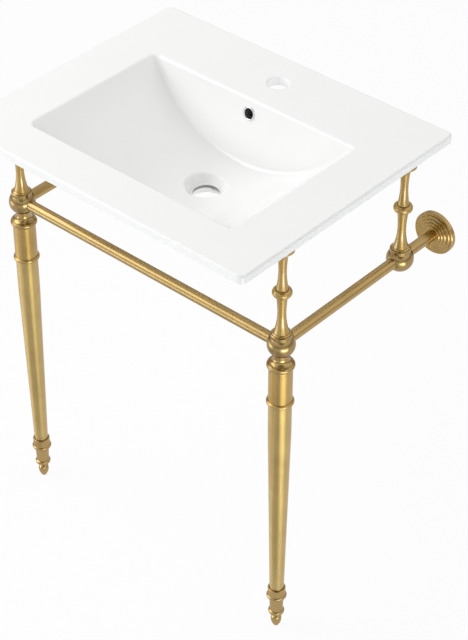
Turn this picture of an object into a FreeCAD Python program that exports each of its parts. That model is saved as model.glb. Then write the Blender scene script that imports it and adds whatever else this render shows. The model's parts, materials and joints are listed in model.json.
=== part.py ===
import FreeCAD, Part
import math
import os
import re

import Sketcher

# Console sink: a glazed ceramic basin that rests on four turned risers, two
# tapered front legs and a rail frame that is screwed to the wall.
# X runs along the wall, Y towards the wall, Z up. The origin is on the floor,
# under the middle of the basin. All lengths are millimetres.

sizes = {
    # Where the main pieces stand
    "basin_height": 817,      # floor to the basin's top face
    "rail_drop": 199,         # basin's top face to the rail's axis
    "leg_inset": 20.5,        # basin's side to the leg's axis
    "leg_setback": 114,       # basin's front edge to the leg's axis
    "riser_to_wall": 97,      # rear riser's axis to the wall
    # Fits
    "slip": 0.05,             # radial room of a sliding or pushed fit
    "thread_room": 0.1,       # radial room round a stud
    "overrun": 6,             # how far a cutting tool runs past a face
    # Basin slab
    "basin_width": 610,
    "basin_depth": 504,
    "edge_height": 15,
    "deck_thickness": 10,
    "skirt_thickness": 10,
    "plan_corner": 12,
    "edge_round": 4,
    "lower_edge_round": 1.5,
    "rest_boss_width": 52,
    # Bowl: a trough whose floor is one arc from end to end
    "bowl_side_ledge": 90,
    "bowl_front_ledge": 82,
    "bowl_back_ledge": 136,
    "bowl_fall": 112,
    "wall_lean": 24,
    "bowl_shell": 9,
    "crease_round": 10,
    "rim_round": 7,
    # Outlet
    "drain_from_wall": 246,
    "drain_radius": 22.5,
    "drain_edge_round": 1.5,
    "drain_lip": 7,           # floor round the drain hole
    "recess_radius": 34.5,
    "recess_foot_radius": 26,
    "recess_fall": 12.5,
    "recess_edge_round": 4,
    "outlet_boss_radius": 38,
    "chamber_radius": 30,     # room under the lip, where the overflow comes in
    # Overflow
    "overflow_drop": 25,
    "overflow_radius": 10.6,
    "channel_width": 26,
    "channel_gap": 12,
    "channel_wall": 8,
    "channel_roof": 2,
    "duct_gap": 8,            # the channel's run under the bowl
    "duct_wall": 6,
    "ring_radius": 12.4,
    "ring_bore_radius": 8.6,
    "ring_thickness": 2,
    "ring_sleeve_length": 8,
    # Faucet hole
    "faucet_from_wall": 70,
    "faucet_radius": 17.5,
    "faucet_edge_round": 3.5,
    "faucet_boss_radius": 34,
    "faucet_boss_drop": 5,
    # Rubber rest under the basin
    "rest_pad_radius": 16,
    "rest_pad_thickness": 4,
    "rest_pad_round": 1,
    # Ball at each crossing of the rails
    "ball_radius": 22.6,
    "ball_neck_radius": 11.7,
    "ball_collar_radius": 17.2,
    "ball_collar_top": 21.5,
    "ball_collar_lip": 1,
    "ball_recess_floor": 18.5,
    # Lower riser, from the ball to the bead
    "riser_base_radius": 15.1,
    "riser_base_thickness": 5.5,
    "riser_base_round": 1.6,
    "riser_root_radius": 12.4,
    "lower_waist_radius": 6.9,
    "bead_neck_radius": 8.7,
    "bead_neck_height": 4,
    "bead_foot_radius": 10,
    "bead_radius": 15.7,
    "bead_height": 13.5,
    "bead_lip_radius": 12.2,
    "bead_seat_depth": 3.5,
    # Upper riser, from the bead to the disc under the basin
    "riser_seat_radius": 10.1,
    "riser_seat_height": 2,
    "upper_waist_radius": 6.4,
    "flare_start_radius": 7.4,
    "flare_end_radius": 16.4,
    "disc_radius": 18,
    "disc_thickness": 3.5,
    "disc_round": 1,
    # Threaded studs inside the turned pieces
    "stud_radius": 4,
    "stud_in_riser": 18,
    "stud_in_cap": 18,
    "stud_end_room": 1,
    "link_radius": 3,
    "link_hold": 12,
    # Rails
    "rail_radius": 9.5,
    "rail_wall": 1.5,
    "rail_socket_start": 11.2,
    "rail_end_room": 0.3,
    # Grub screws that hold the rails in the front balls
    "grub_radius": 2.5,
    "grub_length": 6,
    "grub_inset": 15,
    "grub_key_radius": 1.4,
    "grub_key_depth": 3,
    # Wall flange and the plate behind it
    "flange_radius": 38,
    "flange_depth": 16,
    "flange_lip": 3,
    "flange_cavity_depth": 6.5,
    "flange_round": 2,
    "flange_grub_height": 12,
    "plate_radius": 32,
    "plate_thickness": 3,
    "plate_stub_length": 26,
    "plate_stub_bore": 5.5,
    "fixing_circle": 48,
    "fixing_radius": 2.6,
    # Leg cap under the ball
    "cap_rim_radius": 22.6,
    "cap_rim_height": 8.5,
    "cap_rim_edge_radius": 20.6,
    "cap_flare_top": 19.5,
    "cap_height": 25.2,
    "spigot_length": 15,
    # Leg sleeve
    "sleeve_radius": 19.3,
    "sleeve_wall": 1.8,
    "sleeve_length": 65,
    # Leg collar
    "collar_radius": 22.4,
    "collar_height": 8,
    "collar_edge": 1,
    "collar_bore": 13,
    # Tapered leg tube
    "tube_top_radius": 18.8,
    "tube_shoulder_radius": 18.2,
    "tube_bottom_radius": 12,
    "tube_wall": 1.6,
    # Ferrule at the foot of the leg
    "ferrule_height": 63,
    "ferrule_foot_radius": 9.4,
    "ferrule_bead_radius": 13.8,
    "ferrule_bead_height": 7,
    "ferrule_waist_radius": 11.4,
    "ferrule_bead_top": 10.5,
    "ferrule_hollow_radius": 11.7,
    "ferrule_sleeve_radius": 13,
    "ferrule_groove_radius": 12.2,
    "ferrule_groove_height": 1.2,
    "ferrule_band_edge_radius": 15.6,
    "ferrule_band_radius": 17.3,
    "ferrule_band_height": 44.5,
    "ferrule_band_half": 3.2,
    "ferrule_wall_radius": 15.3,
    "ferrule_lip_radius": 15,
    "ferrule_lip_round": 1,
    "ferrule_cup_depth": 12,
    "ferrule_cup_room": 0.25,
    "foot_thread_depth": 46,
    # Levelling foot
    "foot_tip_radius": 4,
    "acorn_radius": 9.3,
    "acorn_height": 17,
    "foot_neck_radius": 5.6,
    "foot_neck_height": 24.5,
    "foot_drop": 29,
    "foot_seat_gap": 0.3,
    "foot_stud_radius": 5,
    "foot_stud_length": 32,
    "foot_stud_point": 1,
    # Shares of the room for the risers, of each riser's length and of the leg's pieces
    "lower_riser_share": 0.5387,
    "lower_waist_share": 0.477,
    "upper_waist_share": 0.48,
    "flare_share": 0.224,
    "tube_shoulder_share": 0.78,
    "tube_straight_share": 0.88,
    "ferrule_hollow_share": 0.42,
}

# Each ring of the wall flange: its radius and its height, as shares of the flange
flange_ring_shares = ((1.0, 0.5), (0.87, 0.63), (0.71, 0.76), (0.58, 0.88), (0.46, 1.0))
fixing_count = 3
key_sides = 6

sides = {"left": -1, "right": 1}
ends = ("front", "rear")

doc = FreeCAD.newDocument("console_sink")
sheet = doc.addObject("Spreadsheet::Sheet", "Sizes")
for row, (alias, length) in enumerate(sizes.items(), 1):
    sheet.set(f"A{row}", alias)
    sheet.set(f"B{row}", str(length))
    sheet.setAlias(f"B{row}", alias)
doc.recompute()

nodes = {}


def linked(text):
    """Write a sum of size names as an expression on the sheet."""
    return re.sub(r"[a-z]\w*", lambda m: f"Sizes.{m[0]}" if m[0] in sizes else m[0], str(text))


def number(text):
    """Work a sum of size names out to a number."""
    return float(sheet.evalExpression(linked(text)))


def bind(item, **properties):
    """Tie properties of an object to sums of size names."""
    for name, text in properties.items():
        item.setExpression(name, linked(text))


def place(item, x="0", y="0", z="0", turn=FreeCAD.Rotation()):
    """Put an object at a place worked out from the sizes."""
    item.Placement = FreeCAD.Placement(FreeCAD.Vector(), turn)
    for axis, text in (("x", x), ("y", y), ("z", z)):
        item.setExpression(f"Placement.Base.{axis}", linked(text))


def facing(x, y, z):
    """The turn that brings +Z to a direction."""
    return FreeCAD.Rotation(FreeCAD.Vector(0, 0, 1), FreeCAD.Vector(x, y, z))


def keep(name, item):
    """Record an object as a piece of the assembly."""
    item.Label = name
    nodes[name] = item
    return item


# Sketches

def fix_point(sketch, geometry, end, x, y):
    """Hold one point of a sketch at a place worked out from the sizes."""
    for kind, axis, text in (("DistanceX", -2, x), ("DistanceY", -1, y)):
        if text == "0":
            sketch.addConstraint(Sketcher.Constraint("PointOnObject", geometry, end, axis))
        else:
            index = sketch.addConstraint(Sketcher.Constraint(kind, geometry, end, number(text)))
            sketch.setExpression(f"Constraints[{index}]", linked(text))


def arc_middle(start, finish, step):
    """The middle point of an arc step: given, or from its centre's height."""
    if "via" in step:
        return FreeCAD.Vector(*[number(text) for text in step["via"]])
    level = number(step["centre"])
    rise = (start.y - level) ** 2 - (finish.y - level) ** 2
    centre = FreeCAD.Vector((start.x + finish.x - rise / (finish.x - start.x)) / 2, level)
    middle = (start - centre) + (finish - centre)
    return centre + middle.normalize() * (start - centre).Length


def draw_outline(sketch, steps):
    """Draw a closed outline: each step is a corner, with an arc to it if it says how."""
    corners = [FreeCAD.Vector(number(step["at"][0]), number(step["at"][1])) for step in steps]
    first_ends = []
    for index, step in enumerate(steps):
        following = steps[(index + 1) % len(steps)]
        start = corners[index]
        finish = corners[(index + 1) % len(steps)]
        if "via" in following or "centre" in following:
            middle = arc_middle(start, finish, following)
            circle = Part.Circle(start, middle, finish)
            centre = circle.Center
            counter = (middle - start).cross(finish - middle).z > 0
            first, last = (start, finish) if counter else (finish, start)
            angles = [math.atan2(p.y - centre.y, p.x - centre.x) for p in (first, last)]
            plain = Part.Circle(centre, FreeCAD.Vector(0, 0, 1), circle.Radius)
            geometry = sketch.addGeometry(Part.ArcOfCircle(plain, *angles), False)
            first_ends.append((geometry, 1 if counter else 2))
            if "via" in following:
                point = sketch.addGeometry(Part.Point(middle), True)
                fix_point(sketch, point, 1, *following["via"])
                sketch.addConstraint(Sketcher.Constraint("PointOnObject", point, 1, geometry))
            else:
                level = sketch.addConstraint(
                    Sketcher.Constraint("DistanceY", geometry, 3, number(following["centre"]))
                )
                sketch.setExpression(f"Constraints[{level}]", linked(following["centre"]))
        else:
            geometry = sketch.addGeometry(Part.LineSegment(start, finish), False)
            first_ends.append((geometry, 1))
    for index, (geometry, end) in enumerate(first_ends):
        earlier, earlier_end = first_ends[index - 1]
        joint = (earlier, 3 - earlier_end, geometry, end)
        sketch.addConstraint(Sketcher.Constraint("Coincident", *joint))
        fix_point(sketch, geometry, end, *steps[index]["at"])


def corner(x, y):
    return {"at": (x, y)}


def arc(x, y, via=None, centre=None):
    """An arc that ends at a corner, through a point or with its centre at a height."""
    step = {"at": (x, y)}
    if via:
        step["via"] = via
    else:
        step["centre"] = centre
    return step


def draw_rings(sketch, *radii):
    """Draw circles round the sketch's origin."""
    for text in radii:
        circle = Part.Circle(FreeCAD.Vector(), FreeCAD.Vector(0, 0, 1), number(text))
        geometry = sketch.addGeometry(circle, False)
        sketch.addConstraint(Sketcher.Constraint("Coincident", geometry, 3, -1, 1))
        index = sketch.addConstraint(Sketcher.Constraint("Radius", geometry, number(text)))
        sketch.setExpression(f"Constraints[{index}]", linked(text))


def body_sketch(body, name, role):
    """Start a sketch on one of the body's own planes."""
    sketch = body.newObject("Sketcher::SketchObject", name)
    plane = [item for item in body.Origin.OriginFeatures if item.Role == role][0]
    sketch.AttachmentSupport = [(plane, "")]
    sketch.MapMode = "FlatFace"
    return sketch


# Bodies

def turned(name, *steps):
    """A piece turned on a lathe: its outline spun round Z."""
    body = doc.addObject("PartDesign::Body", name)
    sketch = body_sketch(body, f"{name}_outline", "XZ_Plane")
    draw_outline(sketch, steps)
    spin = body.newObject("PartDesign::Revolution", f"{name}_turned")
    spin.Profile = sketch
    spin.ReferenceAxis = (sketch, ["V_Axis"])
    spin.Angle = 360
    return keep(name, body)


def tube(name, role, radius, wall, length, centred=False):
    """A round tube along the normal of one of the body's planes."""
    body = doc.addObject("PartDesign::Body", name)
    sketch = body_sketch(body, f"{name}_section", role)
    draw_rings(sketch, radius, f"{radius} - {wall}")
    pad = body.newObject("PartDesign::Pad", f"{name}_length")
    pad.Profile = sketch
    pad.Midplane = centred
    bind(pad, Length=length)
    return keep(name, body)


def drill(body, name, radius, length, at, along):
    """Drill a round hole into a body, from a point along a direction."""
    doc.recompute()
    before = body.Shape.Volume
    hole = body.newObject("PartDesign::SubtractiveCylinder", name)
    bind(hole, Radius=radius, Height=length)
    place(hole, *at, turn=facing(*along))
    doc.recompute()
    if body.Shape.Volume >= before:
        raise ValueError(f"{name} cuts nothing")
    return hole


# Basin: a thin slab with a turned-down edge, and the bowl's shell hung under it

basin_back = "basin_depth / 2"
bowl_front = "(bowl_front_ledge - basin_depth / 2)"
bowl_back = "(basin_depth / 2 - bowl_back_ledge)"
lean = "wall_lean / bowl_fall"
leg_x = "(basin_width / 2 - leg_inset)"
rail_height = "(basin_height - rail_drop)"
leg_y = "leg_setback - basin_depth / 2"
riser_y = "basin_depth / 2 - riser_to_wall"
drain_y = "basin_depth / 2 - drain_from_wall"
slab_bottom = "basin_height - edge_height"
bowl_half = "(basin_width / 2 - bowl_side_ledge)"
arc_radius = f"({bowl_half} * {bowl_half} + bowl_fall * bowl_fall) / (2 * bowl_fall)"


def block(name, x, y, z, long, wide, high):
    """A box from its lowest corner."""
    item = doc.addObject("Part::Box", name)
    bind(item, Length=long, Width=wide, Height=high)
    place(item, x, y, z)
    return item


def rod(name, radius, length, x, y, z, turn=FreeCAD.Rotation()):
    """A round bar from the middle of its end face."""
    item = doc.addObject("Part::Cylinder", name)
    bind(item, Radius=radius, Height=length)
    place(item, x, y, z, turn)
    return item


def fused(name, *items):
    item = doc.addObject("Part::MultiFuse", name)
    item.Shapes = list(items)
    item.Refine = True
    doc.recompute()
    return item


def cut(name, base, tool):
    item = doc.addObject("Part::Cut", name)
    item.Base = base
    item.Tool = tool
    item.Refine = True
    doc.recompute()
    return item


def rounded(name, base, radius, chosen):
    """Round the edges that a test picks."""
    doc.recompute()
    item = doc.addObject("Part::Fillet", name)
    item.Base = base
    size = number(radius)
    item.Edges = [(i, size, size) for i, edge in enumerate(base.Shape.Edges, 1) if chosen(edge)]
    doc.recompute()
    if not item.Edges or item.Shape.isNull() or not item.Shape.isValid():
        raise ValueError(f"{name} did not round")
    return item


def is_upright(edge):
    """An edge that stands straight up."""
    return edge.BoundBox.XLength + edge.BoundBox.YLength < number("slip")


def lies_at(edge, z):
    """An edge that lies flat at a height."""
    box = edge.BoundBox
    near = number("slip")
    return box.ZLength < near and abs(box.ZMin - z) < near


def trough(name, grow):
    """The bowl's form, made larger by a wall: an arc floor between leaning walls."""
    barrel = rod(
        f"{name}_barrel", f"{arc_radius} + {grow}", "basin_depth",
        "0", f"{basin_back}", f"basin_height - bowl_fall + {arc_radius}", facing(0, -1, 0),
    )
    wedge = doc.addObject("Part::Wedge", f"{name}_wedge")
    fall = f"(bowl_fall + {grow} + overrun)"
    rise = "overrun"
    bind(
        wedge,
        Ymin="0", Ymax=f"{fall} + {rise}",
        Xmin="-basin_width / 2", Xmax="basin_width / 2",
        X2min="-basin_width / 2", X2max="basin_width / 2",
        Zmin=f"-({bowl_back} + {grow} - {lean} * {fall})",
        Zmax=f"-({bowl_front} - {grow} + {lean} * {fall})",
        Z2min=f"-({bowl_back} + {grow} + {lean} * {rise})",
        Z2max=f"-({bowl_front} - {grow} - {lean} * {rise})",
    )
    quarter_turn = FreeCAD.Rotation(FreeCAD.Vector(1, 0, 0), 90)
    place(wedge, "0", "0", f"basin_height - {fall}", quarter_turn)
    form = doc.addObject("Part::MultiCommon", name)
    form.Shapes = [barrel, wedge]
    form.Refine = True
    radius = f"crease_round + {grow}"

    def is_crease(edge):
        box = edge.BoundBox
        return box.XLength > number(bowl_half) and box.ZLength > number("bowl_fall / 2")

    return rounded(f"{name}_creased", form, radius, is_crease)


def channel(name, low, high, front, back, width):
    """A duct behind and under the bowl, between two lines that follow its back wall."""
    sketch = doc.addObject("Sketcher::SketchObject", f"{name}_side")
    sketch.Placement = FreeCAD.Placement(
        FreeCAD.Vector(), FreeCAD.Rotation(FreeCAD.Vector(1, 1, 1), 120)
    )
    top, floor, bottom = high, *low

    def wall(depth, gap):
        return f"{bowl_back} - {lean} * ({depth}) + {gap}"

    def level(depth):
        return f"basin_height - ({depth})"

    draw_outline(sketch, (
        corner(wall(top, front), level(top)),
        corner(wall(top, back), level(top)),
        corner(wall(bottom, back), level(bottom)),
        corner(drain_y, level(bottom)),
        corner(drain_y, level(floor)),
        corner(wall(floor, front), level(floor)),
    ))
    duct = doc.addObject("Part::Extrusion", name)
    duct.Base = sketch
    duct.DirMode = "Normal"
    duct.Solid = True
    duct.Symmetric = True
    bind(duct, LengthFwd=width)
    return duct


def make_basin():
    slab = rounded("slab_corners", block(
        "slab", "-basin_width / 2", "-basin_depth / 2", slab_bottom,
        "basin_width", "basin_depth", "edge_height",
    ), "plan_corner", is_upright)
    top = number("basin_height")
    bottom = number(slab_bottom)
    slab = rounded("slab_top_edge", slab, "edge_round", lambda edge: lies_at(edge, top))
    slab = rounded("slab_low_edge", slab, "lower_edge_round", lambda edge: lies_at(edge, bottom))
    hollow = rounded("hollow_corners", block(
        "hollow", "skirt_thickness - basin_width / 2", "skirt_thickness - basin_depth / 2",
        f"{slab_bottom} - overrun",
        "basin_width - 2 * skirt_thickness", "basin_depth - 2 * skirt_thickness",
        "edge_height - deck_thickness + overrun",
    ), "plan_corner / 2", is_upright)
    tray = cut("tray", slab, hollow)

    bosses = []
    inner = f"({leg_x} - rest_boss_width / 2)"
    reach = f"basin_width / 2 - skirt_thickness / 2 - {inner}"
    for side, sign in sides.items():
        for end, y in zip(ends, (leg_y, riser_y)):
            x = inner if sign > 0 else f"-{inner} - ({reach})"
            bosses.append(block(
                f"rest_boss_{end}_{side}", x, f"{y} - rest_boss_width / 2", slab_bottom,
                reach, "rest_boss_width", "edge_height - deck_thickness / 2",
            ))
    shell = trough("bowl_outside", "bowl_shell")
    lid = block(
        "shell_lid", "-basin_width / 2", "-basin_depth / 2", "basin_height - deck_thickness / 2",
        "basin_width", "basin_depth", f"bowl_fall + {arc_radius}",
    )
    shell = cut("bowl_shell_form", shell, lid)
    recess_floor = "(bowl_fall + recess_fall)"
    boss_drop = "(drain_lip + duct_gap + duct_wall)"
    boss_foot = f"basin_height - {recess_floor} - {boss_drop}"
    cup = rod(
        "recess_cup", "recess_radius + bowl_shell", "recess_fall + bowl_shell / 2",
        "0", drain_y, f"basin_height - {recess_floor} - bowl_shell",
    )
    outlet = rod("outlet_boss", "outlet_boss_radius", boss_drop, "0", drain_y, boss_foot)
    faucet_boss = rod(
        "faucet_boss", "faucet_boss_radius", "faucet_boss_drop + deck_thickness / 2",
        "0", "basin_depth / 2 - faucet_from_wall",
        "basin_height - deck_thickness - faucet_boss_drop",
    )
    under = f"{recess_floor} + drain_lip"
    casing = channel(
        "channel_casing",
        ("bowl_fall + bowl_shell / 2", f"{under} + duct_gap + duct_wall"),
        "deck_thickness / 2", "bowl_shell / 2",
        "bowl_shell + channel_gap + channel_wall", "channel_width + 2 * channel_wall",
    )
    body = fused("basin_outside", tray, *bosses, shell, cup, outlet, faucet_boss, casing)
    body = cut("basin_open", body, trough("bowl_inside", "0"))

    def is_rim(edge):
        box = edge.BoundBox
        inside = box.XMax < number(f"{bowl_half} + rim_round")
        return lies_at(edge, top) and inside and box.YMax < number(f"{bowl_back} + rim_round")

    body = rounded("basin_rim", body, "rim_round", is_rim)

    recess = doc.addObject("Part::Cone", "recess")
    growth = "(recess_radius - recess_foot_radius) / recess_fall"
    bind(
        recess,
        Radius1="recess_foot_radius", Radius2=f"recess_radius + {growth} * overrun",
        Height="recess_fall + overrun",
    )
    place(recess, "0", drain_y, f"basin_height - {recess_floor}")
    drain = rod(
        "drain_bore", "drain_radius", f"{boss_drop} + recess_fall",
        "0", drain_y, f"{boss_foot} - overrun",
    )
    chamber = rod(
        "outlet_chamber", "chamber_radius", "duct_gap + duct_wall + overrun",
        "0", drain_y, f"{boss_foot} - overrun",
    )
    faucet = rod(
        "faucet_bore", "faucet_radius", "deck_thickness + faucet_boss_drop + 2 * overrun",
        "0", "basin_depth / 2 - faucet_from_wall",
        "basin_height - deck_thickness - faucet_boss_drop - overrun",
    )
    water_way = channel(
        "channel_inside",
        (under, f"{under} + duct_gap"),
        "deck_thickness + channel_roof", "bowl_shell", "bowl_shell + channel_gap",
        "channel_width",
    )
    slope = math.atan(number(lean))
    overflow = rod(
        "overflow_bore", "overflow_radius", "bowl_shell + channel_gap / 2 + overrun",
        "0", f"{bowl_back} - {lean} * overflow_drop + bowl_shell + channel_gap / 2",
        f"basin_height - overflow_drop - {lean} * (bowl_shell + channel_gap / 2)",
        facing(0, -math.cos(slope), math.sin(slope)),
    )
    bores = fused("bores", recess, drain, chamber, faucet, water_way, overflow)
    body = cut("basin_bored", body, bores)

    def is_hole_edge(edge, radius, z):
        flat = lies_at(edge, z) and hasattr(edge.Curve, "Radius")
        return flat and abs(edge.Curve.Radius - number(radius)) < number("slip")

    body = rounded(
        "faucet_hole_edge", body, "faucet_edge_round",
        lambda edge: is_hole_edge(edge, "faucet_radius", top),
    )
    seat = number(f"basin_height - {recess_floor}")
    body = rounded(
        "drain_hole_edge", body, "drain_edge_round",
        lambda edge: is_hole_edge(edge, "drain_radius", seat),
    )

    def is_recess_edge(edge):
        box = edge.BoundBox
        wide = number("recess_radius + overrun")
        near = abs(box.XMin) < wide and abs(box.YMin - number(drain_y)) < wide
        return near and box.ZMin > seat + number("recess_fall - slip") and box.ZMax < top

    body = rounded("recess_edge", body, "recess_edge_round", is_recess_edge)
    keep("basin", body)


def make_overflow_ring():
    """A plated ring pushed into the overflow hole, square to the leaning wall."""
    ring = turned(
        "overflow_ring",
        corner("ring_bore_radius", "-ring_sleeve_length"),
        corner("overflow_radius - slip", "-ring_sleeve_length"),
        corner("overflow_radius - slip", "0"),
        corner("ring_radius", "0"),
        arc("ring_bore_radius", "0",
            via=("(ring_radius + ring_bore_radius) / 2", "ring_thickness")),
    )
    slope = math.atan(number(lean))
    place(
        ring, "0", f"{bowl_back} - {lean} * overflow_drop",
        "basin_height - overflow_drop", facing(0, -math.cos(slope), math.sin(slope)),
    )


# Risers

riser_foot = f"({rail_height} + ball_recess_floor)"
disc_top = f"({slab_bottom} - rest_pad_thickness)"
lower_riser_length = f"(lower_riser_share * ({disc_top} - {riser_foot}))"
bead_bottom = f"({lower_riser_length} - bead_height)"
bead_seat = f"({riser_foot} + {lower_riser_length} - bead_seat_depth)"


def make_lower_riser(name, x, y):
    """A waisted spindle with a disc at its foot and a cupped bead on top."""
    seat = f"{lower_riser_length} - bead_seat_depth"
    waist = f"lower_waist_share * {lower_riser_length}"
    riser = turned(
        name,
        corner("stud_radius + thread_room", "0"),
        corner("riser_base_radius - riser_base_round", "0"),
        corner("riser_base_radius", "riser_base_round"),
        corner("riser_base_radius", "riser_base_thickness - riser_base_round"),
        corner("riser_base_radius - riser_base_round", "riser_base_thickness"),
        corner("riser_root_radius", "riser_base_thickness"),
        arc("lower_waist_radius", waist, centre=waist),
        arc("bead_neck_radius", f"{bead_bottom} - bead_neck_height", centre=waist),
        arc("bead_foot_radius", bead_bottom, centre=f"{bead_bottom} - bead_neck_height"),
        arc("bead_lip_radius", lower_riser_length,
            via=("bead_radius", f"{bead_bottom} + bead_height / 2")),
        corner("riser_seat_radius + slip", lower_riser_length),
        corner("riser_seat_radius + slip", seat),
        corner("link_radius + thread_room", seat),
        corner("link_radius + thread_room", f"{seat} - link_hold - stud_end_room"),
        corner("0", f"{seat} - link_hold - stud_end_room"),
        corner("0", "stud_in_riser + stud_end_room"),
        corner("stud_radius + thread_room", "stud_in_riser + stud_end_room"),
    )
    place(riser, x, y, riser_foot)


def make_upper_riser(name, x, y):
    """A spindle that sits in the bead's cup and flares to a disc under the basin."""
    length = f"({disc_top} - {bead_seat})"
    waist = f"upper_waist_share * {length}"
    flare_end = f"{length} - disc_thickness"
    flare_start = f"{flare_end} - flare_share * {length}"
    riser = turned(
        name,
        corner("link_radius + thread_room", "0"),
        corner("riser_seat_radius", "0"),
        corner("riser_seat_radius", "riser_seat_height"),
        arc("upper_waist_radius", waist, centre=waist),
        arc("flare_start_radius", flare_start, centre=waist),
        arc("flare_end_radius", flare_end, centre=flare_start),
        corner("disc_radius", f"{flare_end} + disc_round / 2"),
        corner("disc_radius", f"{length} - disc_round"),
        corner("disc_radius - disc_round", length),
        corner("0", length),
        corner("0", "link_hold + stud_end_room"),
        corner("link_radius + thread_room", "link_hold + stud_end_room"),
    )
    place(riser, x, y, bead_seat)


def make_rest_pad(name, x, y):
    """A rubber disc between the riser and the basin."""
    pad = turned(
        name,
        corner("0", "0"),
        corner("rest_pad_radius - rest_pad_round", "0"),
        corner("rest_pad_radius", "rest_pad_round"),
        corner("rest_pad_radius", "rest_pad_thickness - rest_pad_round"),
        corner("rest_pad_radius - rest_pad_round", "rest_pad_thickness"),
        corner("0", "rest_pad_thickness"),
    )
    place(pad, x, y, disc_top)


# Balls

ball_flat = "sqrt(ball_radius * ball_radius - ball_neck_radius * ball_neck_radius)"
collar_foot = "sqrt(ball_radius * ball_radius - ball_collar_radius * ball_collar_radius)"
recess_radius = "riser_base_radius + slip"

ball_top = (
    arc("ball_collar_radius", collar_foot, centre="0"),
    corner("ball_collar_radius", "ball_collar_top - ball_collar_lip"),
    corner("ball_collar_radius - ball_collar_lip", "ball_collar_top"),
    corner(recess_radius, "ball_collar_top"),
    corner(recess_radius, "ball_recess_floor"),
)


def make_front_ball(side, sign):
    """The ball over a leg: two blind rail sockets and a stud hole from top to bottom."""
    name = f"front_ball_{side}"
    ball = turned(
        name,
        corner("stud_radius + thread_room", f"-{ball_flat}"),
        corner("ball_neck_radius", f"-{ball_flat}"),
        *ball_top,
        corner("stud_radius + thread_room", "ball_recess_floor"),
    )
    start = "rail_socket_start"
    socket = ("rail_radius + slip", "ball_radius")
    drill(ball, f"{name}_front_socket", *socket, (f"{-sign} * {start}", "0", "0"), (-sign, 0, 0))
    drill(ball, f"{name}_side_socket", *socket, ("0", start, "0"), (0, 1, 0))
    grub = ("grub_radius + slip", "ball_radius")
    drill(
        ball, f"{name}_front_grub", *grub, (f"{-sign} * grub_inset", "0", "0"), (0, 1, -1)
    )
    drill(ball, f"{name}_side_grub", *grub, ("0", "grub_inset", "0"), (-sign, 0, -1))
    place(ball, f"{sign} * {leg_x}", leg_y, rail_height)


def make_rear_ball(side, sign):
    """The ball on a side rail: the rail runs through it and a stud from above holds it."""
    name = f"rear_ball_{side}"
    ball = turned(name, corner("0", "-ball_radius"), *ball_top, corner("0", "ball_recess_floor"))
    length = "2 * ball_radius"
    drill(ball, f"{name}_rail_bore", "rail_radius + slip", length,
          ("0", "-ball_radius", "0"), (0, 1, 0))
    drill(ball, f"{name}_stud_hole", "stud_radius + thread_room", "ball_radius",
          ("0", "0", "0"), (0, 0, 1))
    place(ball, f"{sign} * {leg_x}", riser_y, rail_height)


# Rails and their hold on the wall

def make_rails():
    socket = "rail_socket_start + rail_end_room"
    rail = tube(
        "front_rail", "YZ_Plane", "rail_radius", "rail_wall",
        f"2 * ({leg_x} - ({socket}))", centred=True,
    )
    place(rail, "0", leg_y, rail_height)
    wall_end = f"{basin_back} - plate_thickness"
    start = f"{leg_y} + {socket}"
    for side, sign in sides.items():
        rail = tube(
            f"side_rail_{side}", "XZ_Plane", "rail_radius", "rail_wall",
            f"{wall_end} - ({start})",
        )
        place(rail, f"{sign} * {leg_x}", wall_end, rail_height)


def make_wall_plate(side, sign):
    """The plate that is screwed to the wall, with the stub that the rail slides over."""
    name = f"wall_plate_{side}"
    stub = "rail_radius - rail_wall - slip"
    plate = turned(
        name,
        corner("plate_stub_bore", "0"),
        corner("plate_radius", "0"),
        corner("plate_radius", "plate_thickness"),
        corner(stub, "plate_thickness"),
        corner(stub, "plate_stub_length"),
        corner("plate_stub_bore", "plate_stub_length"),
    )
    hole = drill(
        plate, f"{name}_fixing", "fixing_radius", "plate_thickness + overrun",
        ("0", "fixing_circle / 2", "-overrun / 2"), (0, 0, 1),
    )
    pattern = plate.newObject("PartDesign::PolarPattern", f"{name}_fixings")
    pattern.Originals = [hole]
    axis = [item for item in plate.Origin.OriginFeatures if item.Role == "Z_Axis"][0]
    pattern.Axis = (axis, [""])
    pattern.Angle = 360
    pattern.Occurrences = fixing_count
    plate.Tip = pattern
    place(plate, f"{sign} * {leg_x}", basin_back, rail_height, facing(0, -1, 0))


def make_wall_flange(side, sign):
    """The stepped rose that slides along the rail and hides the plate."""
    name = f"wall_flange_{side}"
    bore = "rail_radius + slip"
    cavity = "flange_radius - flange_lip"
    steps = [
        corner(bore, "flange_cavity_depth"),
        corner(cavity, "flange_cavity_depth"),
        corner(cavity, "0"),
        corner("flange_radius", "0"),
    ]
    rings = [
        (f"flange_radius * {radius}", f"flange_depth * {height}")
        for radius, height in flange_ring_shares
    ]
    for index, (radius, height) in enumerate(rings):
        inner = rings[index + 1][0] if index + 1 < len(rings) else None
        if index:
            steps.append(corner(radius, rings[index - 1][1]))
        steps.append(corner(radius, f"{height} - flange_round / 2"))
        steps.append(corner(f"{radius} - flange_round / 2", height))
        if inner is None:
            steps.append(corner(bore, height))
    flange = turned(name, *steps)
    drill(
        flange, f"{name}_grub_hole", "grub_radius + slip", "flange_radius",
        ("0", "0", "flange_grub_height"), (0, -1, 0),
    )
    turn = facing(0, -1, 0)
    place(flange, f"{sign} * {leg_x}", basin_back, rail_height, turn)


# Legs

foot_top = "foot_drop"
ferrule_floor = "ferrule_height - ferrule_cup_depth"
tube_foot = f"{foot_top} + {ferrule_floor}"
cap_foot = f"({rail_height} - {ball_flat} - cap_height)"
sleeve_foot = f"({cap_foot} - sleeve_length)"
collar_foot_height = f"({sleeve_foot} - collar_height)"
sleeve_bore = "(sleeve_radius - sleeve_wall)"
tube_length = f"({collar_foot_height} - ({tube_foot}))"
tube_shoulder = f"{tube_length} * tube_shoulder_share"


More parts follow.
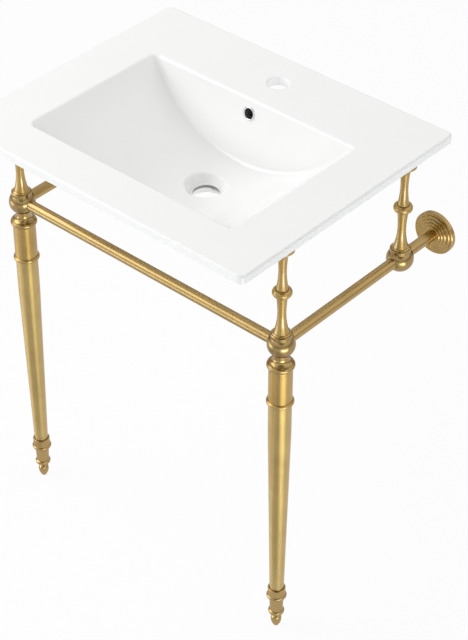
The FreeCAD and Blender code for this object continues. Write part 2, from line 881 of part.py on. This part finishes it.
def make_leg_cap(side, sign):
    """The bell under the ball, with a spigot in the sleeve."""
    cap = turned(
        f"leg_cap_{side}",
        corner("stud_radius + thread_room", "cap_height"),
        corner("stud_radius + thread_room", "cap_height - stud_in_cap - stud_end_room"),
        corner("0", "cap_height - stud_in_cap - stud_end_room"),
        corner("0", "-spigot_length"),
        corner(f"{sleeve_bore} - slip", "-spigot_length"),
        corner(f"{sleeve_bore} - slip", "0"),
        corner("cap_rim_edge_radius", "0"),
        arc("cap_rim_edge_radius", "cap_rim_height",
            via=("cap_rim_radius", "cap_rim_height / 2")),
        arc("ball_neck_radius", "cap_flare_top", centre="cap_flare_top"),
        corner("ball_neck_radius", "cap_height"),
    )
    place(cap, f"{sign} * {leg_x}", leg_y, cap_foot)


def make_leg_sleeve(side, sign):
    sleeve = tube(
        f"leg_sleeve_{side}", "XY_Plane", "sleeve_radius", "sleeve_wall", "sleeve_length"
    )
    place(sleeve, f"{sign} * {leg_x}", leg_y, sleeve_foot)


def make_leg_collar(side, sign):
    """The bead between sleeve and tube, with a spigot in each."""
    tube_bore = "tube_top_radius - tube_wall"
    collar = turned(
        f"leg_collar_{side}",
        corner("collar_bore", "-spigot_length"),
        corner(f"{tube_bore} - slip", "-spigot_length"),
        corner(f"{tube_bore} - slip", "0"),
        corner("tube_top_radius + collar_edge", "0"),
        arc("sleeve_radius + collar_edge", "collar_height",
            via=("collar_radius", "collar_height / 2")),
        corner(f"{sleeve_bore} - slip", "collar_height"),
        corner(f"{sleeve_bore} - slip", "collar_height + spigot_length"),
        corner("collar_bore", "collar_height + spigot_length"),
    )
    place(collar, f"{sign} * {leg_x}", leg_y, collar_foot_height)


def make_leg_tube(side, sign):
    """The tapered tube: straight at the top, then narrowing all the way to the ferrule."""
    straight = f"{tube_length} * tube_straight_share"
    leg = turned(
        f"leg_tube_{side}",
        corner("tube_bottom_radius", "0"),
        corner("tube_shoulder_radius", tube_shoulder),
        arc("tube_top_radius", straight, centre=straight),
        corner("tube_top_radius", tube_length),
        corner("tube_top_radius - tube_wall", tube_length),
        corner("tube_top_radius - tube_wall", straight),
        arc("tube_shoulder_radius - tube_wall", tube_shoulder, centre=straight),
        corner("tube_bottom_radius - tube_wall", "0"),
    )
    place(leg, f"{sign} * {leg_x}", leg_y, tube_foot)


def make_ferrule(side, sign):
    """The cup that ends the tube, with the thread for the levelling foot."""
    bore = "foot_stud_radius + slip"
    taper = f"(tube_shoulder_radius - tube_bottom_radius) / ({tube_shoulder})"
    cup = f"tube_bottom_radius + {taper} * ferrule_cup_depth + ferrule_cup_room"
    band_foot = "(ferrule_band_height - ferrule_band_half)"
    band_top = "ferrule_band_height + ferrule_band_half"
    groove_foot = f"({band_foot} - ferrule_groove_height)"
    hollow_height = "ferrule_bead_top + ferrule_hollow_share * " \
        f"({groove_foot} - ferrule_bead_top)"
    ferrule = turned(
        f"leg_ferrule_{side}",
        corner(bore, "0"),
        corner("ferrule_foot_radius", "0"),
        arc("ferrule_bead_radius", "ferrule_bead_height", centre="ferrule_bead_height"),
        arc("ferrule_waist_radius", "ferrule_bead_top", centre="ferrule_bead_height"),
        arc("ferrule_sleeve_radius", groove_foot,
            via=("ferrule_hollow_radius", hollow_height)),
        corner("ferrule_groove_radius", groove_foot),
        corner("ferrule_groove_radius", band_foot),
        corner("ferrule_band_edge_radius", band_foot),
        arc("ferrule_band_edge_radius", band_top,
            via=("ferrule_band_radius", "ferrule_band_height")),
        corner("ferrule_wall_radius", band_top),
        corner("ferrule_lip_radius", "ferrule_height - ferrule_lip_round"),
        corner("ferrule_lip_radius - ferrule_lip_round", "ferrule_height"),
        corner(f"{cup} + ferrule_lip_round / 2", "ferrule_height"),
        corner(cup, "ferrule_height - ferrule_lip_round"),
        corner(cup, ferrule_floor),
        corner("0", ferrule_floor),
        corner("0", "foot_thread_depth"),
        corner(bore, "foot_thread_depth"),
    )
    place(ferrule, f"{sign} * {leg_x}", leg_y, foot_top)


def make_levelling_foot(side, sign):
    """An acorn foot on a threaded stud, screwed right in."""
    shoulder = "foot_drop - foot_seat_gap"
    foot = turned(
        f"levelling_foot_{side}",
        corner("0", "0"),
        corner("foot_tip_radius", "0"),
        arc("acorn_radius", "acorn_height", centre="acorn_height"),
        arc("foot_neck_radius", "foot_neck_height", centre="acorn_height"),
        corner("foot_neck_radius", shoulder),
        corner("foot_stud_radius", shoulder),
        corner("foot_stud_radius", "foot_drop + foot_stud_length - foot_stud_point"),
        corner("foot_stud_radius - foot_stud_point", "foot_drop + foot_stud_length"),
        corner("0", "foot_drop + foot_stud_length"),
    )
    place(foot, f"{sign} * {leg_x}", leg_y, "0")


# Studs and screws: each kind is one group of separate solids

def group(name, items):
    item = doc.addObject("Part::Compound", name)
    item.Links = items
    keep(name, item)


def grub_screw(name, x, y, z, along):
    """A headless screw with a hexagon key hole in its outer end."""
    turn = facing(*along)
    shank = rod(f"{name}_shank", "grub_radius", "grub_length", "0", "0", "0")
    key = doc.addObject("Part::Prism", f"{name}_key")
    key.Polygon = key_sides
    bind(key, Circumradius="grub_key_radius", Height="grub_key_depth + overrun")
    place(key, "0", "0", "grub_length - grub_key_depth")
    screw = cut(name, shank, key)
    place(screw, x, y, z, turn)
    return screw


def make_fasteners():
    ball_studs, clamp_studs, link_studs = [], [], []
    rail_grubs, flange_grubs = [], []
    reach = "rail_radius / sqrt(2)"
    for side, sign in sides.items():
        x = f"{sign} * {leg_x}"
        low = f"{rail_height} - {ball_flat} - stud_in_cap"
        ball_studs.append(rod(
            f"ball_stud_{side}", "stud_radius", f"{riser_foot} + stud_in_riser - ({low})",
            x, leg_y, low,
        ))
        clamp_foot = f"{rail_height} + rail_radius"
        clamp_studs.append(rod(
            f"clamp_stud_{side}", "stud_radius",
            f"{riser_foot} + stud_in_riser - ({clamp_foot})", x, riser_y, clamp_foot,
        ))
        for end, y in zip(ends, (leg_y, riser_y)):
            link_studs.append(rod(
                f"link_stud_{end}_{side}", "link_radius", "2 * link_hold",
                x, y, f"{bead_seat} - link_hold",
            ))
        rail_grubs.append(grub_screw(
            f"front_rail_grub_{side}", f"{x} - {sign} * grub_inset",
            f"{leg_y} + {reach}", f"{rail_height} - {reach}", (0, 1, -1),
        ))
        rail_grubs.append(grub_screw(
            f"side_rail_grub_{side}", f"{x} - {sign} * {reach}",
            f"{leg_y} + grub_inset", f"{rail_height} - {reach}", (-sign, 0, -1),
        ))
        flange_grubs.append(grub_screw(
            f"flange_grub_{side}", x, f"{basin_back} - flange_grub_height",
            f"{rail_height} - rail_radius", (0, 0, -1),
        ))
    group("ball_studs", ball_studs)
    group("clamp_studs", clamp_studs)
    group("riser_link_studs", link_studs)
    group("rail_grub_screws", rail_grubs)
    group("flange_grub_screws", flange_grubs)


make_basin()
make_overflow_ring()
for side, sign in sides.items():
    x = f"{sign} * {leg_x}"
    for end, y in zip(ends, (leg_y, riser_y)):
        make_lower_riser(f"lower_riser_{end}_{side}", x, y)
        make_upper_riser(f"upper_riser_{end}_{side}", x, y)
        make_rest_pad(f"rest_pad_{end}_{side}", x, y)
    make_front_ball(side, sign)
    make_rear_ball(side, sign)
    make_wall_plate(side, sign)
    make_wall_flange(side, sign)
    make_leg_cap(side, sign)
    make_leg_sleeve(side, sign)
    make_leg_collar(side, sign)
    make_leg_tube(side, sign)
    make_ferrule(side, sign)
    make_levelling_foot(side, sign)
make_rails()
make_fasteners()
doc.recompute()

for item in doc.Objects:
    if "Invalid" in item.State or "Error" in item.State:
        raise ValueError(f"{item.Label} failed: {item.State}")
    if item.TypeId == "Sketcher::SketchObject" and not item.FullyConstrained:
        raise ValueError(f"{item.Label} is loose")

os.makedirs("parts", exist_ok=True)
for name, item in nodes.items():
    shape = item.Shape
    if shape.isNull() or not shape.isValid():
        raise ValueError(f"{name} has no valid shape")
    box = shape.BoundBox
    print(
        f"{name}: {len(shape.Solids)} solid, {shape.Volume / 1000:.1f} cm3,",
        f"x {box.XMin:.1f} to {box.XMax:.1f}, y {box.YMin:.1f} to {box.YMax:.1f},",
        f"z {box.ZMin:.1f} to {box.ZMax:.1f}",
    )
    shape.exportStep(f"parts/{name}.step")
print(len(nodes), "pieces")
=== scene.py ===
import json
import math

import bpy
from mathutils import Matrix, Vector


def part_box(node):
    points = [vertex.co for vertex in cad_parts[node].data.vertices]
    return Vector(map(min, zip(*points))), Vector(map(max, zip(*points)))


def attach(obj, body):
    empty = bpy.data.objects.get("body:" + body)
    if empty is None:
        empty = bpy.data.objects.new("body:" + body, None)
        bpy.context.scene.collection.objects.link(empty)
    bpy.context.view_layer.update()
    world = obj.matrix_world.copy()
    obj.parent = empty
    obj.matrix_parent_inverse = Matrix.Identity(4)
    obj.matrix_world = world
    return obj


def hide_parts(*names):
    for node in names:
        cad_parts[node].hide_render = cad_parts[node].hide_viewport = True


# Console sink: glazed basin, satin brass stand. Metres, floor at z 0, wall on the +Y side.

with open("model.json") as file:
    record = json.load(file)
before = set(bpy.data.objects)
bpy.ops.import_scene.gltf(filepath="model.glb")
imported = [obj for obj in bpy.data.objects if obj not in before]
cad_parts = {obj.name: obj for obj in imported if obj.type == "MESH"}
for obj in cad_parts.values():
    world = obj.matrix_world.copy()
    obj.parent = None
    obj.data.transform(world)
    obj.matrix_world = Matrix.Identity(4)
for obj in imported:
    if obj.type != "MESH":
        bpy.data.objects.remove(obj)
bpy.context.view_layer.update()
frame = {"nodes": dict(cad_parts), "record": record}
nodes = frame["nodes"]
print("frame loaded:", len(nodes), "pieces")


# Shader sums

class Wire:
    # a socket that can be used in plain sums; each sum adds its Math node

    def __init__(self, tree, socket=None):
        self.tree = tree
        self.socket = socket

    def node(self, kind, settings=None, inputs=None, output=0):
        made = self.tree.nodes.new(kind)
        for name, value in (settings or {}).items():
            if name == "stops":
                setStops(made.color_ramp, value)
            else:
                setattr(made, name, value)
        for name, value in (inputs or {}).items():
            if isinstance(value, Wire):
                self.tree.links.new(value.socket, made.inputs[name])
            else:
                made.inputs[name].default_value = value
        return Wire(self.tree, made.outputs[output] if made.outputs else None)

    def maths(self, operation, *values):
        return self.node("ShaderNodeMath", {"operation": operation}, dict(enumerate(values)))

    def __add__(self, other):
        return self.maths("ADD", self, other)

    def __sub__(self, other):
        return self.maths("SUBTRACT", self, other)

    def __rsub__(self, other):
        return self.maths("SUBTRACT", other, self)

    def __mul__(self, other):
        return self.maths("MULTIPLY", self, other)

    def __pow__(self, other):
        return self.maths("POWER", self, other)


def setStops(ramp, stops):
    while len(ramp.elements) < len(stops):
        ramp.elements.new(1.0)
    ramp.interpolation = "EASE"
    for element, (place, level) in zip(ramp.elements, stops):
        element.position = place
        element.color = (level, level, level, 1.0)


def newMaterial(name):
    material = bpy.data.materials.new(name)
    material.use_nodes = True
    material.node_tree.nodes.clear()
    return material, Wire(material.node_tree)


def closeMaterial(start, shader):
    start.node("ShaderNodeOutputMaterial", inputs={"Surface": shader})


def closePrincipled(start, inputs):
    closeMaterial(start, start.node("ShaderNodeBsdfPrincipled", inputs=inputs))


def objectPoint(start, scale=(1.0, 1.0, 1.0)):
    coordinates = start.node("ShaderNodeTexCoord", output="Object")
    return start.node("ShaderNodeMapping", inputs={"Vector": coordinates, "Scale": scale})


def noise(point, scale, detail, roughness):
    return point.node(
        "ShaderNodeTexNoise",
        inputs={"Vector": point, "Scale": scale, "Detail": detail, "Roughness": roughness},
    )


def spread(value, low, high, source=(0.3, 0.7)):
    # takes the source's range, where most of a noise lies, to low and high
    return value.node(
        "ShaderNodeMapRange",
        inputs={"Value": value, "From Min": source[0], "From Max": source[1], "To Min": low, "To Max": high},
    )


def between(value, low, high):
    return value.maths("GREATER_THAN", value, low) * value.maths("LESS_THAN", value, high)


def blendColors(share, first, second):
    return share.node(
        "ShaderNodeMix", {"data_type": "RGBA"}, {"Factor": share, 6: first, 7: second}, output=2
    )


def bumps(height, strength, depth):
    return height.node("ShaderNodeBump", inputs={"Height": height, "Strength": strength, "Distance": depth})


def toned(color, shade):
    return tuple(channel * shade for channel in color[:3]) + (1.0,)


# Finishes. A noise is given as scale, detail and roughness.

brass = {
    "light": (0.490, 0.308, 0.070, 1.0),
    "deep": (0.400, 0.245, 0.048, 1.0),
    # the tubes' lighter, paler copy of the two tones: painted light
    "litPaleLight": (0.545, 0.378, 0.112, 1.0),
    "litPaleDeep": (0.450, 0.305, 0.082, 1.0),
    "edge": (0.60, 0.44, 0.32, 1.0),     # tint where the metal is seen at a glance
    "roughness": 0.34,
    "roughnessSwing": 0.02,
    "grainTurn": 0.25,
    "lacquer": 0.8,
    "lacquerRoughness": 0.16,
    "lacquerIor": 1.75,
    "brushing": (1400.0, 3.0, 0.6),
    "brushStrength": 0.1,
    "brushDepth": 0.000006,
    "clouds": (24.0, 3.0, 0.5),
    "brushShare": 0.2,                   # how much of the tone the brushing gives, the clouds the rest
}

strokes = {"upright": (0.05, 0.05, 1.0), "alongX": (0.02, 1.0, 1.0), "alongY": (1.0, 0.02, 1.0)}

paintedBrassShades = {
    # by how the names begin; shade and polish are against the brass of sleeves and risers. The shade is
    # painted shade: the same brass made darker on rails, flange, balls, caps and ferrules; the tubes' tones
    # are a lighter, paler copy of it, painted light
    "front_rail": {"name": "satinBrassAcross", "brushed": "alongX", "shade": 0.82},
    "side_rail": {"name": "satinBrassSideShaded", "brushed": "alongY", "shade": 0.91},
    "wall_flange": {"name": "satinBrassFlange", "brushed": "alongY", "shade": 0.92},
    "front_ball": {"name": "satinBrassBall", "polish": 0.08, "grain": 0.4, "shade": 0.68},
    "leg_cap": {"name": "satinBrassTurned", "polish": 0.08, "grain": 0.4, "shade": 0.81},
    "leg_tube": {"name": "satinBrassTube", "grain": 0.9, "tones": ("litPaleLight", "litPaleDeep")},
}


def satinBrass(name, brushed="upright", polish=0.0, grain=0.0, shade=1.0, tones=("light", "deep")):
    material, start = newMaterial(name)
    # shade darkens both tones of the one brass: painted shade
    light, deep = (toned(brass[tone], shade) for tone in tones)
    marks = noise(objectPoint(start, strokes[brushed]), *brass["brushing"])
    clouds = noise(objectPoint(start), *brass["clouds"])
    tone = spread(marks * brass["brushShare"] + clouds * (1.0 - brass["brushShare"]), 0.0, 1.0)
    roughness = brass["roughness"] - polish
    closePrincipled(start, {
        "Base Color": blendColors(tone, deep, light),
        "Metallic": 1.0,
        "Roughness": spread(marks, roughness - brass["roughnessSwing"], roughness + brass["roughnessSwing"]),
        "Normal": bumps(marks, brass["brushStrength"], brass["brushDepth"]),
        "Specular Tint": brass["edge"],
        "Anisotropic": grain,
        "Anisotropic Rotation": brass["grainTurn"],
        "Coat Weight": brass["lacquer"],
        "Coat Roughness": brass["lacquerRoughness"],
        "Coat IOR": brass["lacquerIor"],
    })
    return material


clayAndShade = {
    # bare clay where no glaze reaches, painted far darker than clay: painted shade in the outlet's lip and
    # the overflow channel
    "color": (0.26, 0.255, 0.24, 1.0),
    "outletHeights": (0.6852, 0.6908),
    "outletRadius": 0.026,
    "channelHalf": 0.0135,
    "channelHeights": (0.700, 0.806),
    "channelDepths": (0.005, 0.0215),    # behind the bowl's back wall
    "wallLean": 0.2143,
    "wallTop": (0.116, 0.817),           # the back wall's top edge, y and z
}


def clayAndShadeMask(start):
    # 1 in the outlet's lip and in the overflow channel, where the dark clay colour is painted shade, 0
    # elsewhere
    place = start.node("ShaderNodeTexCoord", output="Object")
    x, y, z = (start.node("ShaderNodeSeparateXYZ", inputs={0: place}, output=n) for n in range(3))
    drain = next(mount["pos_m"] for mount in frame["record"]["mounts"] if mount["name"] == "drain_hole")
    away = ((x - drain[0]) ** 2 + (y - drain[1]) ** 2) ** 0.5
    outlet = between(away, -1.0, clayAndShade["outletRadius"]) * between(z, *clayAndShade["outletHeights"])
    wallY, wallZ = clayAndShade["wallTop"]
    depth = y - wallY + (wallZ - z) * clayAndShade["wallLean"]
    channel = between(depth, *clayAndShade["channelDepths"]) * between(z, *clayAndShade["channelHeights"])
    channel = channel * between(x, -clayAndShade["channelHalf"], clayAndShade["channelHalf"])
    return outlet.maths("MAXIMUM", outlet, channel)


glaze = {
    "color": (0.960, 0.960, 0.952, 1.0),
    "pooled": (0.948, 0.950, 0.942, 1.0),
    "pooling": (11.0, 3.0, 0.5),
    "poolingRange": (0.35, 0.7),
    "roughness": (0.13, 0.19),
    "swell": (7.0, 2.0, 0.4),
    "orangePeel": (160.0, 2.0, 0.5),
    "peelHeight": 0.02,                  # against the swell's
    "waviness": 0.00022,
    "waveStrength": 0.5,
    "ior": 1.52,
    "gloss": 0.2,
    "glossRoughness": 0.08,
}


def whiteGlaze():
    material, start = newMaterial("whiteGlaze")
    point = objectPoint(start)
    swell = noise(point, *glaze["swell"])
    orangePeel = noise(point, *glaze["orangePeel"])
    pooling = spread(noise(point, *glaze["pooling"]), 0.0, 1.0, glaze["poolingRange"])
    color = blendColors(pooling, glaze["color"], glaze["pooled"])
    height = swell + orangePeel * glaze["peelHeight"]
    closePrincipled(start, {
        # painted shade: the outlet's lip and the overflow channel take the dark clay colour
        "Base Color": blendColors(clayAndShadeMask(start), color, clayAndShade["color"]),
        "Roughness": spread(orangePeel, *glaze["roughness"]),
        "Normal": bumps(height, glaze["waveStrength"], glaze["waviness"]),
        "IOR": glaze["ior"],
        "Coat Weight": glaze["gloss"],
        "Coat Roughness": glaze["glossRoughness"],
    })
    return material


plate = {
    "chrome": (0.86, 0.87, 0.88),
    "chromeRoughness": 0.06,
    "chromeMarks": (300.0, 3.0, 0.6),
    "zinc": (0.52, 0.53, 0.55),
    "zincRoughness": 0.32,
    "zincMarks": (700.0, 3.0, 0.6),
    "marksRange": (0.35, 0.65),
    "markShade": 0.9,
    "roughnessShares": (0.7, 1.4),       # of the roughness, least and most
}


def platedMetal(metal):
    material, start = newMaterial(metal + "Plate")
    marks = noise(objectPoint(start), *plate[metal + "Marks"])
    tone = spread(marks, 0.0, 1.0, plate["marksRange"])
    low, high = (plate[metal + "Roughness"] * share for share in plate["roughnessShares"])
    closePrincipled(start, {
        "Base Color": blendColors(tone, toned(plate[metal], 1.0), toned(plate[metal], plate["markShade"])),
        "Metallic": 1.0,
        "Roughness": spread(marks, low, high),
    })
    return material


rubber = {
    "dark": (0.012, 0.012, 0.013, 1.0),
    "light": (0.035, 0.034, 0.034, 1.0),
    "pores": (420.0, 3.0, 0.6),
    "poreStrength": 0.4,
    "poreDepth": 0.0002,
    "roughness": (0.62, 0.82),
}


def blackRubber():
    material, start = newMaterial("blackRubber")
    pores = noise(objectPoint(start), *rubber["pores"])
    closePrincipled(start, {
        "Base Color": blendColors(pores, rubber["dark"], rubber["light"]),
        "Roughness": spread(pores, *rubber["roughness"], (0.0, 1.0)),
        "Normal": bumps(pores, rubber["poreStrength"], rubber["poreDepth"]),
    })
    return material


finishes = {
    "glaze": whiteGlaze(),
    "satin_brass": satinBrass("satinBrass", grain=0.9),
    "plated_ring": platedMetal("chrome"),
    "hidden_steel": platedMetal("zinc"),
    "rubber_pad": blackRubber(),
}
# the same brass copied darker as painted shade, and lighter on the tubes as painted light; rear balls and
# ferrules share these copies
litAndShadedBrass = {kind: satinBrass(**look) for kind, look in paintedBrassShades.items()}
litAndShadedBrass["rear_ball"] = litAndShadedBrass["front_ball"]
litAndShadedBrass["leg_ferrule"] = litAndShadedBrass["leg_cap"]

slots = {row["node"]: row["material_slot"] for row in frame["record"]["subparts"]}


def finishFor(name):
    for kind, material in litAndShadedBrass.items():
        if name.startswith(kind):
            return material
    return finishes[slots[name]]


for name, piece in nodes.items():
    piece.data.materials.clear()
    piece.data.materials.append(finishFor(name))
print("finishes:", len(finishes) + len(litAndShadedBrass))


# Threads of the levelling feet

thread = {
    "start": 0.0289,         # just over the shoulder that the stud stands on
    "top": 0.061,
    "overlap": 0.0004,       # how far the core reaches down into the foot
    "coreRadius": 0.0042,
    "point": 0.0007,         # bevel at the stud's end
    "pointSteps": 2,
    "crest": 0.00497,
    "pitch": 0.0015,
    "turns": 20,
    "ridge": 0.00076,        # radius of the ridge's outline
    "corners": 3,            # of that outline
    "sides": 28,
    "weld": 0.000002,        # merges the doubled points of the CAD mesh
    "smoothAngle": 30.0,
}


def middleOf(low, high, height):
    return Vector(((low[0] + high[0]) / 2, (low[1] + high[1]) / 2, height))


def onlySelected(piece):
    bpy.ops.object.select_all(action="DESELECT")
    piece.select_set(True)
    bpy.context.view_layer.objects.active = piece


def moveBy(piece, step):
    onlySelected(piece)
    piece.location += step
    bpy.ops.object.transform_apply()


def footBelowStud():
    foot = bpy.data.objects.new("threaded_foot_left", nodes["levelling_foot_left"].data.copy())
    bpy.context.scene.collection.objects.link(foot)
    onlySelected(foot)
    bpy.ops.object.mode_set(mode="EDIT")
    bpy.ops.mesh.select_all(action="SELECT")
    bpy.ops.mesh.remove_doubles(threshold=thread["weld"])
    bpy.ops.mesh.customdata_custom_splitnormals_clear()
    bpy.ops.mesh.bisect(
        plane_co=(0.0, 0.0, thread["start"]), plane_no=(0.0, 0.0, 1.0), use_fill=True, clear_outer=True
    )
    bpy.ops.object.mode_set(mode="OBJECT")
    return foot


def studCore():
    low = thread["start"] - thread["overlap"]
    height = thread["top"] - low
    bpy.ops.object.select_all(action="DESELECT")
    bpy.ops.mesh.primitive_cylinder_add(
        vertices=thread["sides"], radius=thread["coreRadius"], depth=height,
        location=(0.0, 0.0, low + height / 2),
    )
    core = bpy.context.object
    bevel = core.modifiers.new("point", "BEVEL")
    bevel.width = thread["point"]
    bevel.segments = thread["pointSteps"]
    bpy.ops.object.modifier_apply(modifier="point")
    return core


def studRidge():
    bpy.ops.object.select_all(action="DESELECT")
    bpy.ops.mesh.primitive_circle_add(
        vertices=thread["corners"], radius=thread["ridge"],
        rotation=(math.radians(90.0), math.radians(90.0), 0.0),
    )
    ridge = bpy.context.object
    bpy.ops.object.transform_apply()
    bpy.ops.object.mode_set(mode="EDIT")
    bpy.ops.mesh.select_all(action="SELECT")
    bpy.ops.transform.translate(
        value=(thread["crest"] - thread["ridge"], 0.0, thread["start"] + thread["pitch"] / 2)
    )
    bpy.ops.object.mode_set(mode="OBJECT")
    turning = ridge.modifiers.new("turning", "SCREW")
    turning.axis = "Z"
    turning.angle = math.radians(360.0)
    turning.screw_offset = thread["pitch"]
    turning.iterations = thread["turns"]
    turning.steps = thread["sides"]
    turning.render_steps = thread["sides"]
    bpy.ops.object.modifier_apply(modifier="turning")
    bpy.ops.object.mode_set(mode="EDIT")
    bpy.ops.mesh.select_all(action="SELECT")
    bpy.ops.mesh.fill_holes(sides=thread["corners"])
    bpy.ops.mesh.select_all(action="SELECT")
    bpy.ops.mesh.normals_make_consistent(inside=False)
    bpy.ops.object.mode_set(mode="OBJECT")
    return ridge


def makeFeet():
    middle = middleOf(*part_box("levelling_foot_left"), 0.0)
    foot = footBelowStud()
    core = studCore()
    ridge = studRidge()
    moveBy(core, middle)
    moveBy(ridge, middle)
    onlySelected(foot)
    core.select_set(True)
    ridge.select_set(True)
    bpy.ops.object.join()
    bpy.ops.object.shade_smooth_by_angle(angle=math.radians(thread["smoothAngle"]))
    foot.data.materials.clear()
    # the feet take the darkened cap brass: painted shade
    foot.data.materials.append(litAndShadedBrass["leg_cap"])
    other = bpy.data.objects.new("threaded_foot_right", foot.data.copy())
    bpy.context.scene.collection.objects.link(other)
    moveBy(other, Vector((-2.0 * middle.x, 0.0, 0.0)))
    for piece, side in ((foot, "left"), (other, "right")):
        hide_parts("levelling_foot_" + side)
        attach(piece, "foot_" + side)


makeFeet()
print("feet threaded")


# Studio

studio = {
    "floorSize": 14.0,
    "floorColor": (0.82, 0.82, 0.82, 1.0),
    "floorGlow": 0.92,       # share of plain white where the camera sees the floor
    "mirrorGlow": 1.0,       # and where metal shows it
    "skyGlow": 0.25,         # share of plain white where metal shows the room
}

room = {
    "heights": ((0.0, 0.10), (0.42, 1.0), (0.70, 1.0), (0.96, 0.42)),   # sine of elevation, light there
    "light": 1.145,
    "lean": 0.40,              # how much brighter its bright side is
    "brightSide": 60.0,        # azimuth
    "gap": (42.0, 50.0),       # azimuth and elevation of the unlit place behind the camera
    "gapEdge": (0.84, 0.95),   # cosines where it starts and is full
    "gapLoss": 0.97,
    "glow": (-42.0, 3.0),      # a lit low place on the left
    "glowEdge": (0.74, 0.98),
    "glowLight": 0.44,
}

softBoxes = (
    # name, place, aimed at, width, height, watts, spread in degrees, colour
    ("keyBox", (-2.35, -1.45, 2.80), (0.0, 0.0, 0.5), 2.4, 2.4, 48.0, 180.0, (1.0, 1.0, 1.0)),
    ("edgePanel", (1.20, -0.574, 0.17), (0.28, -0.14, 0.40), 1.08, 0.30, 1.3, 66.0, (0.88, 0.98, 0.98)),
    ("fillPanel", (-0.98, -1.16, 0.22), (0.1, -0.14, 0.1), 1.50, 0.40, 1.5, 66.0, (0.86, 0.98, 1.0)),
)


def aim(azimuth, elevation):
    # outwards from the sink: azimuth 0 is the front, 90 the right side
    across = math.cos(math.radians(elevation))
    return Vector((
        math.sin(math.radians(azimuth)) * across,
        -math.cos(math.radians(azimuth)) * across,
        math.sin(math.radians(elevation)),
    ))


def plainWhite(start, seenShare, mirrorShare):
    seen, mirrored, through = (
        start.node("ShaderNodeLightPath", output="Is " + ray + " Ray")
        for ray in ("Camera", "Glossy", "Transmission")
    )
    return seen * seenShare + (mirrored + through) * mirrorShare


def makeFloor():
    bpy.ops.object.select_all(action="DESELECT")
    bpy.ops.mesh.primitive_plane_add(size=studio["floorSize"])
    floor = bpy.context.object
    floor.name = "studioFloor"
    material, start = newMaterial("paleFloor")
    paper = start.node("ShaderNodeBsdfDiffuse", inputs={"Color": studio["floorColor"]})
    white = start.node("ShaderNodeEmission", inputs={"Strength": 1.0})
    share = plainWhite(start, studio["floorGlow"], studio["mirrorGlow"])
    closeMaterial(start, start.node("ShaderNodeMixShader", inputs={0: share, 1: paper, 2: white}))
    floor.data.materials.append(material)


def facing(outward, azimuth, elevation):
    return outward.node(
        "ShaderNodeVectorMath", {"operation": "DOT_PRODUCT"}, {0: outward, 1: aim(azimuth, elevation)},
        output="Value",
    )


def patch(outward, middle, edge):
    return outward.node(
        "ShaderNodeMapRange", {"interpolation_type": "SMOOTHSTEP"},
        {"Value": facing(outward, *middle), "From Min": edge[0], "From Max": edge[1]},
    )


flag = {
    "width": 0.44,
    "length": 0.80,
    "azimuth": 16.0,
    "away": 0.52,            # middle of the card from the leg
    "lift": 0.002,
    "color": (0.64, 0.64, 0.65, 1.0),
}


def makeFlag(side):
    # a dark card on the floor before each leg, seen in the metal only
    bpy.ops.object.select_all(action="DESELECT")
    bpy.ops.mesh.primitive_plane_add(size=1.0)
    card = bpy.context.object
    card.name = "darkCard" + side.capitalize()
    card.scale = (flag["width"], flag["length"], 1.0)
    card.rotation_euler = (0.0, 0.0, math.radians(flag["azimuth"]))
    leg = middleOf(*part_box("levelling_foot_" + side), flag["lift"])
    card.location = aim(flag["azimuth"], 0.0) * flag["away"] + leg
    material, start = newMaterial("darkCard")
    closeMaterial(start, start.node("ShaderNodeBsdfDiffuse", inputs={"Color": flag["color"]}))
    card.data.materials.append(material)
    card.visible_camera = False
    card.visible_diffuse = False
    card.visible_shadow = False


def makeSky():
    world = bpy.data.worlds.new("paleStudio")
    world.use_nodes = True
    world.node_tree.nodes.clear()
    start = Wire(world.node_tree)
    outward = start.node("ShaderNodeTexCoord", output="Generated")
    height = start.node("ShaderNodeSeparateXYZ", inputs={0: outward}, output=2)
    ring = start.node("ShaderNodeValToRGB", {"stops": room["heights"]}, {"Fac": height})
    leaning = facing(outward, room["brightSide"], 0.0) * room["lean"] + room["light"]
    unlit = patch(outward, room["gap"], room["gapEdge"]) * room["gapLoss"]
    glow = patch(outward, room["glow"], room["glowEdge"]) * room["glowLight"]
    level = ring * leaning * (1.0 - unlit) + glow
    white = plainWhite(start, 1.0, studio["skyGlow"])
    level = level * (1.0 - white) + white
    background = start.node(
        "ShaderNodeBackground", inputs={"Color": (1.0, 1.0, 1.0, 1.0), "Strength": level}
    )
    start.node("ShaderNodeOutputWorld", inputs={"Surface": background})
    bpy.context.scene.world = world


def makeSoftBox(name, place, target, width, height, watts, reach, tint):
    data = bpy.data.lights.new(name, "AREA")
    data.shape = "RECTANGLE"
    data.size = width
    data.size_y = height
    data.energy = watts
    data.spread = math.radians(reach)
    data.color = tint
    lamp = bpy.data.objects.new(name, data)
    lamp.location = place
    lamp.rotation_euler = (Vector(place) - Vector(target)).to_track_quat("Z", "Y").to_euler()
    lamp.visible_camera = False
    bpy.context.scene.collection.objects.link(lamp)


camera = {
    "azimuth": 41.64,
    "elevation": 38.36,
    "target": (0.23548, -0.19099, 0.66928),
    "distance": 2.986,
    "lens": 111.84,
    "sensor": 36.0,
}


def makeCamera():
    data = bpy.data.cameras.new("viewCamera")
    data.sensor_fit = "VERTICAL"
    data.sensor_width = camera["sensor"]
    data.sensor_height = camera["sensor"]
    data.lens = camera["lens"]
    view = bpy.data.objects.new("viewCamera", data)
    back = aim(camera["azimuth"], camera["elevation"])
    view.location = Vector(camera["target"]) + back * camera["distance"]
    view.rotation_euler = (-back).to_track_quat("-Z", "Y").to_euler()
    bpy.context.scene.collection.objects.link(view)
    bpy.context.scene.camera = view


makeFloor()
for side in ("left", "right"):
    makeFlag(side)
makeSky()
for softBox in softBoxes:
    makeSoftBox(*softBox)
makeCamera()
bpy.context.scene.view_settings.view_transform = "Standard"
print("studio ready")
